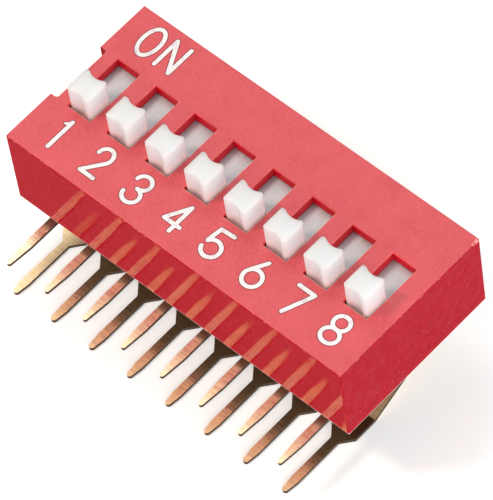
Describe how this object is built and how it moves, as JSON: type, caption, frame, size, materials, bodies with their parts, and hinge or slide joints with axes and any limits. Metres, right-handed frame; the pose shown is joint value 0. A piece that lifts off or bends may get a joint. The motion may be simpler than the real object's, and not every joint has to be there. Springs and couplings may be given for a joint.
{
  "type": "dip switch",
  "caption": "Right-angle slide DIP switch with a red cover, white sliding actuators and two rows of gold pins bent forward to plug into a board.",
  "frame": {"origin": "centre of the long wall that lies on the circuit board", "axes": "+X along the row from position 1 to the last position, +Y away from the board towards the ON side, +Z on the side of the actuators"},
  "size_m": [0.0216, 0.0128, 0.0101],
  "materials": {
    "cover_plastic": "red moulded thermoplastic, fine satin top and glossy walls",
    "base_plastic": "black moulded thermoplastic",
    "slider_plastic": "white moulded thermoplastic, satin",
    "contact_metal": "gold-plated spring strip",
    "lead_metal": "thin gold plate on rolled strip, bright"
  },
  "bodies": {
    "housing": {"cover": "cover_plastic", "base": "base_plastic", "front_terminal_1": "lead_metal", "front_terminal_2": "lead_metal", "front_terminal_3": "lead_metal", "front_terminal_4": "lead_metal", "front_terminal_5": "lead_metal", "front_terminal_6": "lead_metal", "front_terminal_7": "lead_metal", "front_terminal_8": "lead_metal", "rear_terminal_1": "lead_metal", "rear_terminal_2": "lead_metal", "rear_terminal_3": "lead_metal", "rear_terminal_4": "lead_metal", "rear_terminal_5": "lead_metal", "rear_terminal_6": "lead_metal", "rear_terminal_7": "lead_metal", "rear_terminal_8": "lead_metal"},
    "actuator_1": {"slider_1": "slider_plastic", "contact_1": "contact_metal"},
    "actuator_2": {"slider_2": "slider_plastic", "contact_2": "contact_metal"},
    "actuator_3": {"slider_3": "slider_plastic", "contact_3": "contact_metal"},
    "actuator_4": {"slider_4": "slider_plastic", "contact_4": "contact_metal"},
    "actuator_5": {"slider_5": "slider_plastic", "contact_5": "contact_metal"},
    "actuator_6": {"slider_6": "slider_plastic", "contact_6": "contact_metal"},
    "actuator_7": {"slider_7": "slider_plastic", "contact_7": "contact_metal"},
    "actuator_8": {"slider_8": "slider_plastic", "contact_8": "contact_metal"}
  },
  "joints": [
    {"name": "switch_1", "type": "slide", "parent": "housing", "child": "actuator_1", "axis": [0, 1, 0], "range_m": [0, 0.0019]},
    {"name": "switch_2", "type": "slide", "parent": "housing", "child": "actuator_2", "axis": [0, 1, 0], "range_m": [0, 0.0019]},
    {"name": "switch_3", "type": "slide", "parent": "housing", "child": "actuator_3", "axis": [0, 1, 0], "range_m": [0, 0.0019]},
    {"name": "switch_4", "type": "slide", "parent": "housing", "child": "actuator_4", "axis": [0, 1, 0], "range_m": [0, 0.0019]},
    {"name": "switch_5", "type": "slide", "parent": "housing", "child": "actuator_5", "axis": [0, 1, 0], "range_m": [0, 0.0019]},
    {"name": "switch_6", "type": "slide", "parent": "housing", "child": "actuator_6", "axis": [0, 1, 0], "range_m": [0, 0.0019]},
    {"name": "switch_7", "type": "slide", "parent": "housing", "child": "actuator_7", "axis": [0, 1, 0], "range_m": [0, 0.0019]},
    {"name": "switch_8", "type": "slide", "parent": "housing", "child": "actuator_8", "axis": [0, 1, 0], "range_m": [0, 0.0019]}
  ]
}
